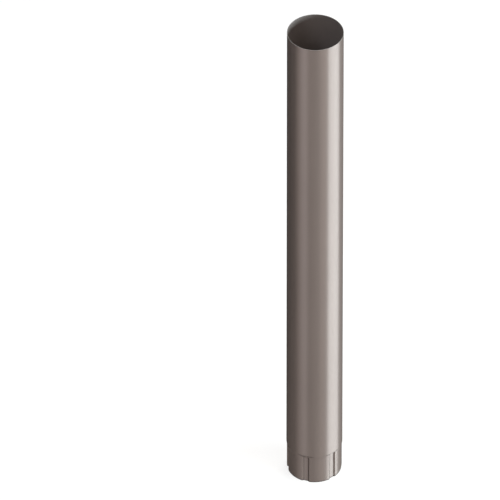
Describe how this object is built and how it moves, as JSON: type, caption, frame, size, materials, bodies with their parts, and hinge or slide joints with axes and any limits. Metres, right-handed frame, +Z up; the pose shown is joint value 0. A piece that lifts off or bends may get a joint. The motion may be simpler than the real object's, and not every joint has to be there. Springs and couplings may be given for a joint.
{
  "type": "steel downpipe",
  "caption": "Round steel rainwater downpipe with a plain socket end above and a swaged, fluted spigot below.",
  "frame": {"origin": "on the pipe's axis, in the plane of the lower rim that it stands on", "axes": "+Z up along the pipe, from the fluted spigot to the plain end; -Y is the front, and the seam runs down the back at +Y"},
  "size_m": [0.1, 0.0999, 1],
  "materials": {
    "coated_steel": "satin"
  },
  "bodies": {
    "root": {"downpipe": "coated_steel"}
  },
  "joints": []
}
